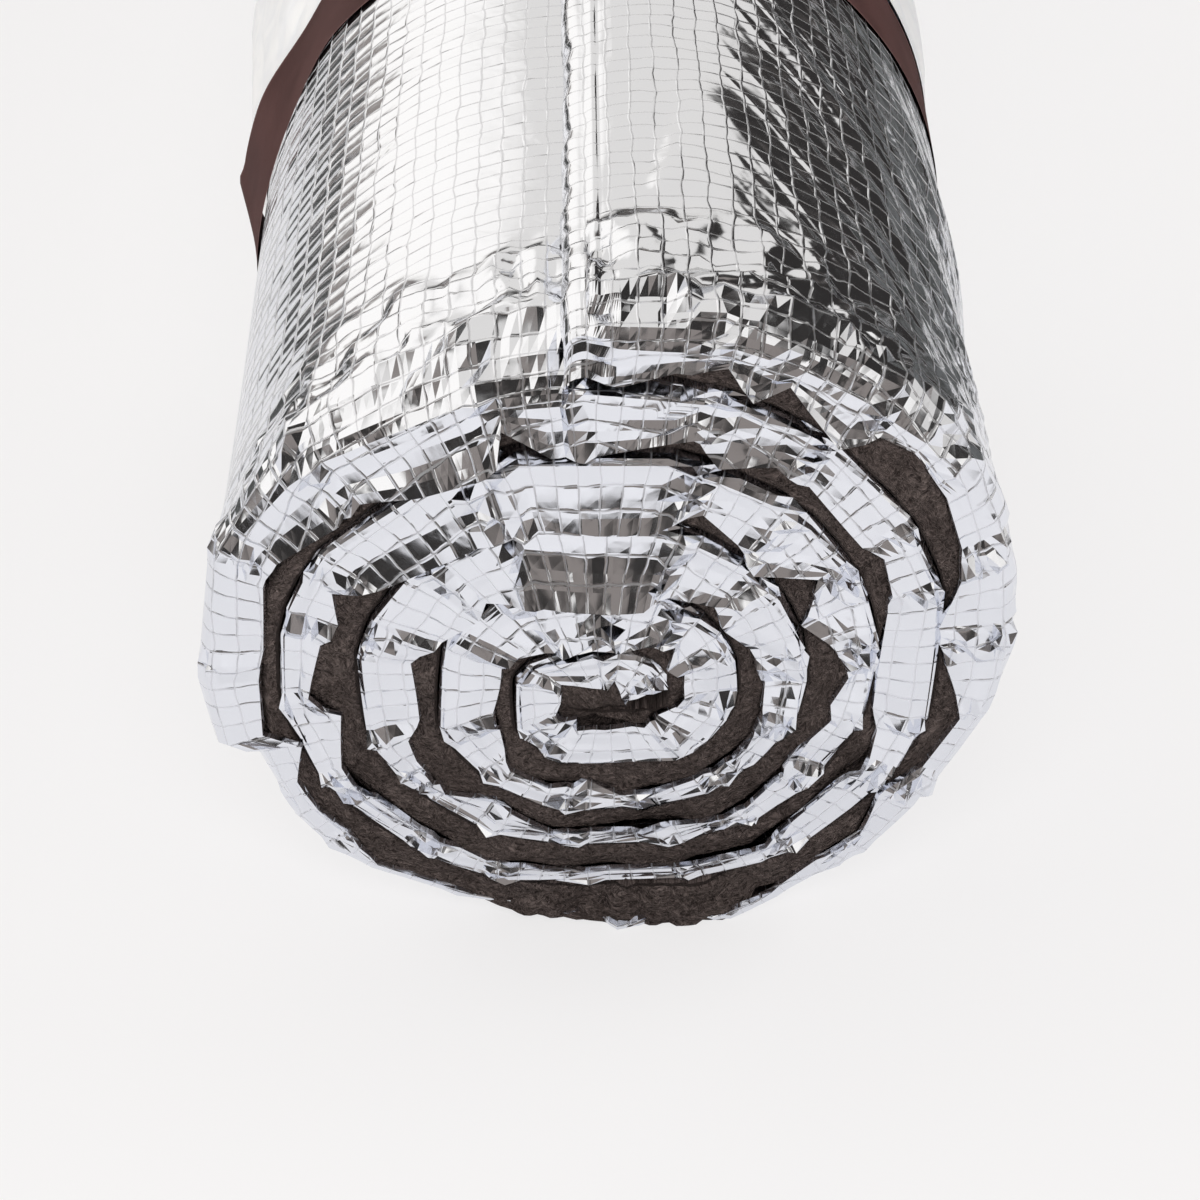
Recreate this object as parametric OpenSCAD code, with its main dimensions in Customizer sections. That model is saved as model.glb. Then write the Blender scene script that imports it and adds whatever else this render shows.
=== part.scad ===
// A soft insulation blanket rolled up and lying on its side: wool faced with reinforced foil, wound
// into an oval roll, with a strap round it and a film sleeve over its rear part.
// The roll's axis runs along Y, its front end faces -Y, and it rests on the plane Z = 0.

/* [Roll] */
// Length of the roll, which is the width of the blanket
roll_len = 1200; // [600:10:1600]
// Turns from the tail on top of the roll down to the inner end
turns = 5.2; // [3.2:0.1:7.2]
// Width of the flattened loop at the core
core_w = 44; // [30:1:90]
// Height of the flattened loop at the core
core_h = 36; // [24:1:70]

/* [Blanket] */
// Thickness of one turn at the sides of the roll
side_t = 27; // [16:0.2:40]
// Thickness of one turn on top, where it lies loose
top_t = 30; // [18:0.2:44]
// Thickness of one turn underneath, pressed by the weight of the roll
under_t = 19.8; // [12:0.2:30]
// How far each turn lies to the left of the turn inside it
drift = 1.4; // [0:0.1:3]
// How much the outer turn's underside is flattened on the floor
sag = 6; // [2:0.5:10]
// Open slit between one turn's wool and the foil of the turn inside it
slit = 2.4; // [0.5:0.1:5]
// How much the tail's end is pressed down onto the turn below it
tail_press = 11; // [0:0.5:14]

/* [Facing] */
// Thickness of the foil facing
foil_t = 0.5; // [0.2:0.1:1.5]
// Width of the foil edge that is folded over the wool at the sides and underneath
fold_w = 13; // [4:0.5:16]
// Width of the folded foil edge on top of the roll
fold_top_w = 25; // [8:0.5:28]

/* [Strap] */
// Width of the strap
strap_w = 60; // [20:1:100]
// Thickness of the strap
strap_t = 0.6; // [0.3:0.1:3]
// Distance from the roll's front end to the strap
strap_front = 318; // [120:1:450]
// How far the slack side of the strap stands off the roll
strap_slack = 10; // [0:0.5:25]

/* [Sleeve] */
// Thickness of the film sleeve
film_t = 0.6; // [0.2:0.1:2]
// Gap between the strap and the sleeve's front edge
film_gap = 20; // [0:1:60]
// Length of bare roll behind the sleeve's rear edge
film_rear = 4; // [0:1:60]
// How far the slack side of the sleeve stands off the roll
film_slack = 14; // [0:0.5:25]

/* [Hidden] */

// Points along one turn
steps = 60;
// Share of the core loop that the innermost wool closes
core_close = 0.8;
// Share of a turn over which the tail is pressed down
tail_span = 0.16;
// Share of a turn over which a wrap bridges the step at the tail's edge
bridge_span = 0.11;
// Middle and half length of the slack side of a wrap, in turns clockwise from the tail
slack_mid = 0.74;
slack_half = 0.17;

// Rise of each turn's centre, because the blanket is thinner underneath than on top
rise = (top_t - under_t) / 2;
// Mean thickness of one turn, top and bottom
mid_t = (top_t + under_t) / 2;
// Height of the roll's underside above the floor: what is wrapped round it lies there
seat = max(strap_t, film_t);
// Winding number of the outer turn's lowest point
v_floor = turns - 0.5;
// Height of the core's centre
core_z = seat + core_h / 2 + (mid_t - rise - sag / turns) * v_floor;

// A turn's half axis at winding number v: the core loop's and one thickness for each turn outside it
function half_axis(core, t, v) = v >= 0 ? core / 2 + t * v : core / 2 * (1 + core_close * v);
// Height of a turn's flattened underside; inside the core loop nothing is flattened
function flat_z(v) = v > 0 ? core_z + rise * v - half_axis(core_h, mid_t, v) + sag * v / turns : 0;
// Winding number at T turns clockwise from the tail; it is 0 at the inner end, and the tail is pressed in
function winding(T) = turns - T - tail_press / top_t * pow(max(0, 1 - T / tail_span), 2);
// The point at T turns clockwise from the top on winding number v, moved inwards by inset
function oval_point(T, v, inset) = [
    -drift * v + (half_axis(core_w, side_t, v) - inset) * sin(360 * T),
    max(core_z + rise * v + (half_axis(core_h, mid_t, v) - inset) * cos(360 * T),
        flat_z(turns - floor(T) - 0.5) + inset)];
// The foil's outer face at T turns from the tail, moved inwards by inset
function turn_point(T, inset = 0) = oval_point(T, winding(T), inset);
// Width of the folded foil edge at T turns from the tail, never wider than the turn itself
function fold_at(T) = let (up = pow(max(0, cos(360 * T)), 3)) fold_w + (fold_top_w - fold_w) * up;
function part_way(a, b, w) = let (d = norm(b - a)) a + (b - a) * min(w / d, 1);
// Winding number of a sheet wrapped round the roll, which bridges the step at the tail's edge
function wrap_winding(T) = max(winding(T), winding(0) - (1 - T) / bridge_span);
// Share of a wrap's slack at T turns from the tail, which is 1 in the middle of its slack side
function slack_share(T) = (1 + cos(180 * min(1, abs(T - slack_mid) / slack_half))) / 2;

turn_list = [for (i = [0 : ceil(turns * steps)]) min(i / steps, turns)];
wrap_list = [for (i = [0 : steps - 1]) i / steps];
function wrap_outline(out, slack) = [for (T = wrap_list)
    oval_point(T, wrap_winding(T), -out - slack * slack_share(T))];
function reversed(list) = [for (i = [len(list) - 1 : -1 : 0]) list[i]];

// Middle of the whole object across its width, which is put on the origin
widest = concat(wrap_outline(strap_t, strap_slack), wrap_outline(film_t, film_slack));
mid_x = (min([for (p = widest) p.x]) + max([for (p = widest) p.x])) / 2;

// Extrudes a section of the roll from one distance behind the front end to another
module along(from, to) {
    translate([-mid_x, to - roll_len / 2, 0]) rotate([90, 0, 0]) linear_extrude(to - from) children();
}

// The blanket's wool: each turn fills the space between its own foil and the slit outside the turn within
module wool_section() {
    outer = [for (T = turn_list) turn_point(T, foil_t)];
    inner = [for (T = turn_list) turn_point(T + 1, -slit)];
    polygon(concat(outer, reversed(inner)));
}

module foil_sheet_section() {
    outer = [for (T = turn_list) turn_point(T)];
    inner = [for (T = turn_list) turn_point(T, foil_t)];
    polygon(concat(outer, reversed(inner)));
}

module foil_fold_section() {
    outer = [for (T = turn_list) turn_point(T)];
    inner = [for (T = turn_list) part_way(turn_point(T, foil_t), turn_point(T + 1, -slit), fold_at(T))];
    polygon(concat(outer, reversed(inner), [turn_point(0, foil_t)]));
}

// The foil is turned down over the tail's cut end, with a rounded upper edge
module foil_hem_section() {
    upper = turn_point(0, foil_t);
    lower = turn_point(1, -slit);
    turned_out = [-foil_t, 0];
    polygon([turn_point(0), upper + turned_out, lower + turned_out, lower, upper]);
}

module ring_section(thickness, slack) {
    difference() {
        polygon(wrap_outline(thickness, slack));
        polygon(wrap_outline(0, slack));
    }
}

module wool_blanket() {
    color([0.20, 0.16, 0.15]) along(foil_t, roll_len - foil_t) wool_section();
}

// The facing lies on the outside of every turn, and its edges are folded over the wool on three sides
module foil_facing() {
    color([0.82, 0.83, 0.85]) {
        along(0, roll_len) foil_sheet_section();
        along(0, roll_len) foil_hem_section();
        along(0, foil_t) foil_fold_section();
        along(roll_len - foil_t, roll_len) foil_fold_section();
    }
}

module strap() {
    color([0.33, 0.21, 0.20]) along(strap_front, strap_front + strap_w) ring_section(strap_t, strap_slack);
}

module film_sleeve() {
    color([0.94, 0.94, 0.95])
        along(strap_front + strap_w + film_gap, roll_len - film_rear) ring_section(film_t, film_slack);
}

wool_blanket();
foil_facing();
strap();
film_sleeve();
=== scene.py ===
# %% [markdown]
# # A foil-faced insulation roll
#
# The object is a soft blanket of brown wool with bright reinforced foil on one side. It is rolled up and
# lies on its side, with a strap round it and a white film sleeve over its rear part. The solids of these
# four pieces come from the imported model. This lesson gives them their soft, crumpled looks in Blender.
#
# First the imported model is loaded, and its box is kept, because the finished looks have to stay near it.

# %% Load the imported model
import math

import bmesh
import bpy
import numpy as np
from mathutils import Matrix, Vector


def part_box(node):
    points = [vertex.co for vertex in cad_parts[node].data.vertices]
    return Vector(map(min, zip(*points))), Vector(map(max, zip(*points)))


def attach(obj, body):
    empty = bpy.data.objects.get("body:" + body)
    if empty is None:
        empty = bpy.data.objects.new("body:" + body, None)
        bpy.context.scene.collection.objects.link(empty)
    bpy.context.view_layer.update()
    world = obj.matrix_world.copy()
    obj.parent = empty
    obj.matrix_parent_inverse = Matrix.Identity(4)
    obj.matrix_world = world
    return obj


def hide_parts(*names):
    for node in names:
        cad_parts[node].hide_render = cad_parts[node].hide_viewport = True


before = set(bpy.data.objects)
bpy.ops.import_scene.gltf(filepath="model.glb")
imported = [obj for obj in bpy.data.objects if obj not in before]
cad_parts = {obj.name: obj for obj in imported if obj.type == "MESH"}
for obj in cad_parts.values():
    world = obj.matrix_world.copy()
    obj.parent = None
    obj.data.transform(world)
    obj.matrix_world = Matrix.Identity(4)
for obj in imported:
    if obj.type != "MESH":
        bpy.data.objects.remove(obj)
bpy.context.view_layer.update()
MM = 0.001

# %% [markdown]
# ## The winding
#
# Seen from its end, the blanket is a flattened spiral. One number says where we are on it: `turn`, counted
# clockwise from the tail on top of the roll, so 0.25 is the right side and 0.5 the underside of the outer
# turn. The oval grows by one blanket thickness with each turn, and by less underneath, where the roll's
# weight presses it. The sizes are those of the solids, in millimetres.

# %% The spiral's section
TURNS = 5.2
CORE_W, CORE_H = 44, 36
SIDE_T, TOP_T, UNDER_T = 27, 30, 19.8
DRIFT, SAG, SLIT = 1.4, 6, 2.4
TAIL_PRESS, TAIL_SPAN = 11, 0.16
CORE_CLOSE = 0.8
FOIL_T, WRAP_T = 0.5, 0.6
RISE = (TOP_T - UNDER_T) / 2
MID_T = (TOP_T + UNDER_T) / 2
CORE_Z = WRAP_T + CORE_H / 2 + (MID_T - RISE - SAG / TURNS) * (TURNS - 0.5)


def half_axis(core, thickness, v):
    return np.where(v >= 0, core / 2 + thickness * v, core / 2 * (1 + CORE_CLOSE * v))


def winding(turn):
    press = TAIL_PRESS / TOP_T * np.clip(1 - turn / TAIL_SPAN, 0, None) ** 2
    return TURNS - turn - press


def oval(turn, v, inset):
    """Across and up, in mm, at a turn on winding number v, moved inwards by inset."""
    angle = 2 * np.pi * turn
    across = -DRIFT * v + (half_axis(CORE_W, SIDE_T, v) - inset) * np.sin(angle)
    up = CORE_Z + RISE * v + (half_axis(CORE_H, MID_T, v) - inset) * np.cos(angle)
    v_flat = TURNS - np.floor(turn) - 0.5
    flat = CORE_Z + RISE * v_flat - half_axis(CORE_H, MID_T, v_flat) + SAG * v_flat / TURNS
    return across, np.maximum(up, np.where(v_flat > 0, flat + inset, 0))


def section(turn, inset=0.0):
    turn = np.asarray(turn, float)
    return oval(turn, winding(turn), inset)


foil_low, foil_high = [np.array(corner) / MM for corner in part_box("foil_facing")]
FRONT, REAR = foil_low[1], foil_high[1]
LENGTH = REAR - FRONT
MIDDLE_X = foil_high[0] - section(np.linspace(0, 1, 721))[0].max()
print("roll from y", round(FRONT), "to", round(REAR), "mm, its section moved by", round(MIDDLE_X, 2), "mm")

# %% [markdown]
# ## The camera
#
# The camera looks down at the open end with a fairly long lens. It is set before anything is made, so every
# later render can be compared with the same view.

# %% Camera
LENS_PX, IMAGE_PX, SENSOR = 3336, 1200, 36
DISTANCE, ELEVATION, YAW, TILT = 1219, math.radians(36.76), math.radians(-0.32), math.radians(-0.37)
AIM = Vector((MIDDLE_X - 2.7, FRONT, 154.3)) * MM

backwards = Vector((math.sin(YAW) * math.cos(ELEVATION), -math.cos(YAW) * math.cos(ELEVATION),
                    math.sin(ELEVATION)))
level_right = (-backwards).cross(Vector((0, 0, 1))).normalized()
level_up = level_right.cross(-backwards)
right = level_right * math.cos(TILT) + level_up * math.sin(TILT)
up = level_up * math.cos(TILT) - level_right * math.sin(TILT)

camera_data = bpy.data.cameras.new("camera")
camera_data.sensor_width = SENSOR
camera_data.lens = SENSOR * LENS_PX / IMAGE_PX
camera = bpy.data.objects.new("camera", camera_data)
camera.matrix_world = Matrix.Translation(AIM + backwards * DISTANCE * MM) @ Matrix(
    (right, up, backwards)).transposed().to_4x4()
bpy.context.scene.collection.objects.link(camera)
bpy.context.scene.camera = camera
camera_place = [round(v, 3) for v in camera.matrix_world.translation]
print("camera with a lens of", round(camera_data.lens, 1), "mm at", camera_place)

# %% [markdown]
# ## Sheets from grids
#
# Foil, strap and film are thin sheets, so each starts as a flat grid, with columns along the sheet and rows
# across it. A function says where each point goes on the roll and what its place is on the flat sheet, which
# becomes its UV map, in metres. The materials follow that map, so the foil's mesh of threads runs over the
# folds as on the real sheet.

# %% Helpers for sheets
def keep(name, bm):
    mesh = bpy.data.meshes.new(name)
    bm.to_mesh(mesh)
    bm.free()
    obj = bpy.data.objects.new(name, mesh)
    bpy.context.scene.collection.objects.link(obj)
    print(name, "has", len(mesh.polygons), "faces")
    return obj


def grid_sheet(name, columns, rows, place, sharp=lambda column, row: False):
    """A mesh object of len(columns) by len(rows) points.

    place(columns, rows) gives the points and their places on the flat sheet, in mm, and
    sharp(column, row) says which faces are shaded flat.
    """
    bm = bmesh.new()
    bmesh.ops.create_grid(bm, x_segments=len(columns) - 1, y_segments=len(rows) - 1, size=1)
    flat = np.array([v.co for v in bm.verts])
    i = np.rint((flat[:, 0] + 1) / 2 * (len(columns) - 1)).astype(int)
    j = np.rint((flat[:, 1] + 1) / 2 * (len(rows) - 1)).astype(int)
    columns, rows = np.asarray(columns), np.asarray(rows)
    points, places = place(columns[i], rows[j])
    uv = bm.loops.layers.uv.new("sheet")
    for vert, point in zip(bm.verts, points * MM):
        vert.co = point
    bm.verts.index_update()
    for face in bm.faces:
        corners = [v.index for v in face.verts]
        face.smooth = not sharp(np.mean(columns[i[corners]]), np.mean(rows[j[corners]]))
        for loop in face.loops:
            loop[uv].uv = places[loop.vert.index] * MM
    return keep(name, bm)


# %% [markdown]
# ## Crumpling
#
# Foil doesn't wave like cloth: where it is crushed, it breaks into flat facets with straight creases. So the
# mesh stays coarse there, its points move at random and its faces are shaded flat. The waves of the tight
# outer skin need a smooth noise: random values on a lattice, carried over smoothly between its points.

# %% Soft noise
LATTICE = 97


def soft_noise(a, b, seed):
    """Slow waves from -1 to 1 over a lattice of unit squares."""
    table = np.random.default_rng(seed).uniform(-1, 1, (LATTICE, LATTICE))
    i, j = np.floor(a).astype(int), np.floor(b).astype(int)
    corners = ((0, 0), (1, 0), (0, 1), (1, 1))
    p, q, r, s = [table[(i + di) % LATTICE, (j + dj) % LATTICE] for di, dj in corners]
    fa, fb = a - i, b - j
    fa, fb = fa * fa * (3 - 2 * fa), fb * fb * (3 - 2 * fb)
    return (p * (1 - fa) + q * fa) * (1 - fb) + (r * (1 - fa) + s * fa) * fb


def ridges(a, b, seed):
    """Sharp crests with soft hollows between them, from -0.5 to 0.5."""
    return 0.5 - np.abs(soft_noise(a, b, seed))


# %% [markdown]
# ## Panels along the foil's edge
#
# Where the foil's edge is folded over the wool, it forms flat panels a few centimetres long, with crushed
# stretches between them. Their lengths are real lengths along the sheet, so the spiral is first measured.

# %% Arc length along the spiral
turn_table = np.linspace(0, TURNS, 6001)
table_x, table_z = section(turn_table)
arc_table = np.r_[0, np.cumsum(np.hypot(np.diff(table_x), np.diff(table_z)))]
SPIRAL = arc_table[-1]


def turn_at(arc):
    return np.interp(arc, arc_table, turn_table)


def arc_at(turn):
    return np.interp(turn, turn_table, arc_table)


print("the blanket is", round(SPIRAL), "mm long,", round(arc_at(1.0)), "mm of it in the outer turn")

# %% [markdown]
# Knots are set along the whole spiral, and the stretches between them are crushed and flat by turns. Every
# knot gets its own push and fold reach. A few panels stand out on the real roll, such as the big flap at the
# upper left, and are listed one by one. On top of the roll the foil lies loose and stands further out.

# %% Sizes of the panels
CRUSHED_MEAN, FLAT_MEAN, INNER_SCALE = 17, 22, 0.7
STEP_SPREAD, REACH_SPREAD = (0.55, 1.45), (0.55, 1.35)
EDGE_PUSH, TOP_PUSH, REAR_PUSH, RIM_PUSH = (-1.0, 4.0), 5, (-1, 5), 1.6
TAIL_REACH, TAIL_PUSH = 19.0, 2.0
QUARTERS = np.arange(0, 5.5, 0.25)
FOLD_REACH = np.array([18, 22, 2, 22, 30, 20, 7, 17, 33, 16, 9, 19, 32, 12, 11, 22, 26, 15, 25, 17, 20, 20])
BIG_PANELS = (
    # from turn, to turn, reach at both ends in mm, forward push of the two inner corners in mm
    (0.70, 0.735, 19, 23, 1, 0), (0.755, 0.80, 23, 22, 0, 2),
    (0.875, 0.945, 28, 38, 4, 13), (1.115, 1.165, 17, 20, 3, 2), (1.215, 1.29, 21, 22, 1, 0),
    (1.835, 1.915, 25, 31, 5, 9), (1.96, 2.04, 32, 32, 7, 7), (2.70, 2.77, 21, 20, 1, 0),
    (2.94, 3.05, 31, 31, 13, 13), (3.70, 3.80, 22, 23, 0, 1), (4.40, 4.57, 21, 25, 0, 2),
    (4.67, 4.79, 17, 18, 1, 0), (4.84, 4.97, 14, 19, 1, 1), (5.03, 5.12, 14, 19, 1, 1),
)
INNER_END = (TURNS, TURNS, 16, 16, 0, 0)
print(len(BIG_PANELS), "panels are set by hand")

# %% Knots along the spiral
knot_rng = np.random.default_rng(11)


def unit(value):
    return np.clip(value, 0, 1)


def looseness(turn):
    return unit(np.cos(2 * np.pi * turn)) ** 2


def fill_knots(start, end):
    """Arc lengths that part crushed and flat stretches by turns, with a crushed one first and last."""
    scale = np.interp(turn_at(start), (0, TURNS), (1, INNER_SCALE))
    pairs = round(max(0, (end - start) / scale - CRUSHED_MEAN) / (CRUSHED_MEAN + FLAT_MEAN))
    steps = knot_rng.uniform(*STEP_SPREAD, 2 * pairs + 1)
    steps[0::2] *= CRUSHED_MEAN
    steps[1::2] *= FLAT_MEAN
    return list(start + np.cumsum(steps)[:-1] * (end - start) / steps.sum())


knots, reaches, pushes, crushed_after = [0.0], [TAIL_REACH], [TAIL_PUSH], []
for from_turn, to_turn, from_reach, to_reach, from_push, to_push in BIG_PANELS + (INNER_END,):
    between = fill_knots(knots[-1], arc_at(from_turn))
    turns_between = turn_at(np.array(between))
    spread = knot_rng.uniform(*REACH_SPREAD, len(between))
    reaches += list(np.interp(turns_between, QUARTERS, FOLD_REACH) * spread)
    pushes += list(knot_rng.uniform(*EDGE_PUSH, len(between)) + TOP_PUSH * looseness(turns_between))
    knots += between + [arc_at(from_turn), arc_at(to_turn)]
    reaches += [from_reach, to_reach]
    pushes += [from_push, to_push]
    crushed_after += [True, False] * (len(between) // 2) + [True, False]
knots, reaches, pushes = np.array(knots[:-1]), np.array(reaches[:-1]), np.array(pushes[:-1])
crushed_after = crushed_after[:-1]
edge_push = (pushes, knot_rng.uniform(*REAR_PUSH, len(knots)))
rim_push = [knot_rng.normal(0, RIM_PUSH, len(knots)) for end in ("front", "rear")]
print(len(knots), "knots along", round(SPIRAL), "mm of blanket")

# %% [markdown]
# Between two knots the rim runs straight, which makes the end look folded by hand and not turned on a lathe.
# The front rim also flares out in some places and is pushed in at others. Both are kept as a shift from the
# smooth spiral, so the sheet can go back to the spiral behind the rim.

# %% Straight edges between the knots
RIM_FLARE = (
    # turn, how far the rim stands out there in mm
    (0, 2.6), (0.12, 2.6), (0.17, 6), (0.195, 5), (0.22, 1.5), (0.31, 0), (0.335, -2.5), (0.36, 1.5),
    (0.4, 4), (0.46, 1.5), (0.53, -3), (0.56, -5), (0.6, 0), (0.62, 2.5), (0.64, 1.5), (0.66, -4),
    (0.685, -9), (0.698, 6), (0.735, 5), (0.75, 1.5), (0.78, 5.5), (0.8, 7), (0.86, 6), (0.95, 2.6),
)
flared_x, flared_z = section(turn_at(knots), -np.interp(turn_at(knots), *zip(*RIM_FLARE)))
plain_x, plain_z = section(turn_at(knots))


def at_end(arc, rear, of_front, of_rear):
    """Values at the knots of the front or the rear end, straight between them."""
    return np.where(rear, np.interp(arc, knots, of_rear), np.interp(arc, knots, of_front))


def chord_shift(arc, rear):
    """From the smooth spiral to the straight line between its two knots, in mm."""
    x, z = section(turn_at(arc))
    return at_end(arc, rear, flared_x, plain_x) - x, at_end(arc, rear, flared_z, plain_z) - z


print("the rim is moved by up to", round(np.hypot(flared_x - plain_x, flared_z - plain_z).max(), 1), "mm")

# %% [markdown]
# Inside a crushed stretch the creases lie about half a centimetre apart. Each of them has random shifts for
# every row of the mesh near the rim: out of the sheet, along it and across it. A knot at the end of a flat
# panel gets small shifts, so that the panel tilts a little but stays flat. The outer left side is calmer.

# %% Creases
CREASE_STEP, CREASE_UNEVEN, KNOT_CREASE = 5.6, 0.3, 0.22
CALM_SIDE, CALM_TURNS = 0.5, (0.62, 0.67, 0.80, 0.84)
RIM_ROWS = np.array([-1, 0, 0.25, 0.5, 0.75, 1, 1.2, 1.4, 1.6, 1.8, 2])
SKIN_ROWS = np.array([5, 11, 18, 26, 36])
crease_rows = np.r_[RIM_ROWS, 2 + SKIN_ROWS / LENGTH]
crease_arcs, crease_size = [], []
for start, end, crushed in zip(knots, knots[1:], crushed_after):
    count = max(1, round((end - start) / CREASE_STEP)) if crushed else 1
    uneven = np.r_[0, knot_rng.uniform(-CREASE_UNEVEN, CREASE_UNEVEN, count - 1)]
    crease_arcs += list(start + (end - start) * (np.arange(count) + uneven) / count)
    crease_size += [KNOT_CREASE] + [1.0] * (count - 1)
crease_arcs, crease_size = np.array(crease_arcs + [SPIRAL]), np.array(crease_size + [KNOT_CREASE])
crease_table = knot_rng.uniform(-1, 1, (len(crease_arcs), 2, len(crease_rows) + 1, 4))
crease_table[:, :, 0] = crease_table[:, :, 1]
crease_table[:, :, :, 3] = 1
crease_size *= np.interp(turn_at(crease_arcs), CALM_TURNS, (1, CALM_SIDE, CALM_SIDE, 1))
crease_table *= crease_size[:, None, None, None]
print(len(crease_arcs), "creases")


def crease_shift(arc, rear, profile):
    """Random shifts from -1 to 1 out of the sheet, along it and across it, and how crushed it is there."""
    column = np.clip(np.searchsorted(crease_arcs, arc, "right") - 1, 0, len(crease_arcs) - 2)
    row_place = np.interp(profile, crease_rows, np.arange(len(crease_rows)))
    row = np.minimum(row_place.astype(int), len(crease_rows) - 2)
    down = (row_place - row)[:, None]
    share = (arc - crease_arcs[column]) / (crease_arcs[column + 1] - crease_arcs[column])
    share = unit(share)[:, None]
    left, right = crease_table[column, rear.astype(int)], crease_table[column + 1, rear.astype(int)]
    at = np.arange(len(row))
    upper = left[at, row] * (1 - share) + right[at, row] * share
    lower = left[at, row + 1] * (1 - share) + right[at, row + 1] * share
    return (upper * (1 - down) + lower * down).T


# %% [markdown]
# ## The foil
#
# The foil is one long sheet, so it is laid out as one: along it runs the arc length from the tail, and
# across it a profile. Steps 0 to 1 of the profile are the front fold, 1 to 2 its bend, 2 to 3 the length of
# the roll, 3 to 4 the rear bend and 4 to 5 the rear fold. On top of the roll the bend is a long slouching
# one. The fold is never wider than the room that the blanket leaves it.

# %% Bend and room of the fold
OUTER_END = 1.04
OUTER_BEND, OUTER_BEND_TOP = 8, 10
INNER_BEND, INNER_BEND_TOP = 2.6, 5.0


def bend_radius(turn):
    outer = OUTER_BEND + OUTER_BEND_TOP * looseness(turn)
    inner = INNER_BEND + INNER_BEND_TOP * looseness(turn)
    return np.where(turn < OUTER_END, outer, inner)


def blanket_room(turn):
    x, z = section(turn)
    inner_x, inner_z = section(turn + 1, -SLIT)
    return np.hypot(x - inner_x, z - inner_z)


rooms = blanket_room(np.array([0.25, 0.5, 1.0]))
print("room for the fold at the right, underneath and on top:", rooms.round(1), "mm")

# %% [markdown]
# The outer skin isn't plain. Along the tail's edge runs a narrow raised strip. The right side is pulled into
# slanting wrinkles, one long fold lies beside the seam, and the loose foil along the front rim on top is
# crushed. Under the strap and the film the foil is pressed snugly onto the wool. Each of these is a small
# function of the place on the sheet, so each can be changed by itself.

# %% Waves and wrinkles of the outer turn
HEM_STRIP = ((0, -0.9), (3.6, 0.3), (4.4, -0.2), (5.4, -0.8), (7, -0.45), (12, 0))
HEM_UNEVEN = 0.35
PULL_ACROSS, PULL_ALONG = 0.85, 0.53
PULL_TURN, PULL_HALF, BROAD_PULL, NARROW_PULL = 0.18, 0.12, 3.6, 1.4
TOP_CRUMPLE, TOP_CRUSH, TOP_FADE, TOP_SMALL = 5.4, 58, 16, 0.45
FOLD_ARC, FOLD_SLANT, FOLD_FROM, FOLD_TO = 26, 0.19, 90, 215
FOLD_HIGH, FOLD_STEEP, FOLD_EASY, FOLD_RISE, FOLD_FALL = 3.6, 6.5, 45, 14, 50
SEAM_TURN, SEAM_HALF, SEAM_WRINKLE, SEAM_SLANT = 0.033, 0.02, 2.0, 0.25
SLOW_WAVE, QUICK_WAVE = 0.8, 0.3
SNUG_FROM, SNUG_RUN, SNUG_SHARE = 240, 50, 0.9


def pulls(arc, y):
    """Slanting pulled wrinkles on the right side, in mm."""
    across = PULL_ACROSS * arc + PULL_ALONG * y
    along = PULL_ACROSS * y - PULL_ALONG * arc
    broad = ridges(across / 21, along / 150, 33)
    narrow = ridges(across / 9, along / 90, 34)
    right_side = unit(1.35 - np.abs(turn_at(arc) - PULL_TURN) / PULL_HALF)
    return right_side * (BROAD_PULL * broad + NARROW_PULL * narrow)


def top_crush(arc, y):
    """Crumples of the loose foil along the front rim on top, large and small, in mm."""
    large = ridges((arc + 0.3 * y) / 13, (y - 0.3 * arc) / 17, 38)
    small = ridges((arc - 0.5 * y) / 7, (y + 0.5 * arc) / 10, 39)
    return TOP_CRUMPLE * (large + TOP_SMALL * small) * unit((TOP_CRUSH - y) / TOP_FADE)


def slack_fold(arc, y):
    """One long fold beside the seam, steep on its left and easy on its right, in mm."""
    beside = arc - FOLD_ARC - FOLD_SLANT * (y - FOLD_FROM)
    ridge = unit(np.minimum(1 + beside / FOLD_STEEP, 1 - beside / FOLD_EASY))
    starts = unit((y - FOLD_FROM) / FOLD_RISE)
    ends = unit((FOLD_TO - y) / FOLD_FALL)
    return FOLD_HIGH * ridge * starts * ends


def surface_waves(arc, y):
    """All relief of the outer skin behind the rim, and the raised strip along the tail's edge, in mm."""
    strip = np.interp(arc, *zip(*HEM_STRIP)) * (1 + HEM_UNEVEN * soft_noise(arc / 5, y / 26, 37))
    waves = SLOW_WAVE * soft_noise(arc / 60, y / 140, 31) + QUICK_WAVE * soft_noise(arc / 17, y / 70, 32)
    by_seam = unit(1.4 - np.abs(turn_at(arc) - SEAM_TURN) / SEAM_HALF)
    wrinkles = ridges((arc - SEAM_SLANT * y) / 15, (y + SEAM_SLANT * arc) / 64, 35)
    snug = unit((y - SNUG_FROM) / SNUG_RUN)
    loose = waves + pulls(arc, y) + SEAM_WRINKLE * by_seam * wrinkles + slack_fold(arc, y)
    return strip + loose * (1 - SNUG_SHARE * snug)


relief = surface_waves(np.arange(400.0), np.full(400, 150.0))
print("relief of the skin from", relief.min().round(1), "to", relief.max().round(1), "mm")

# %% [markdown]
# Now every point of the foil gets its place, in the four steps that the comments name. The tail's edge is
# turned down as a ragged hem, and underneath, a short apron of foil stands forward of the end.

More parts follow.
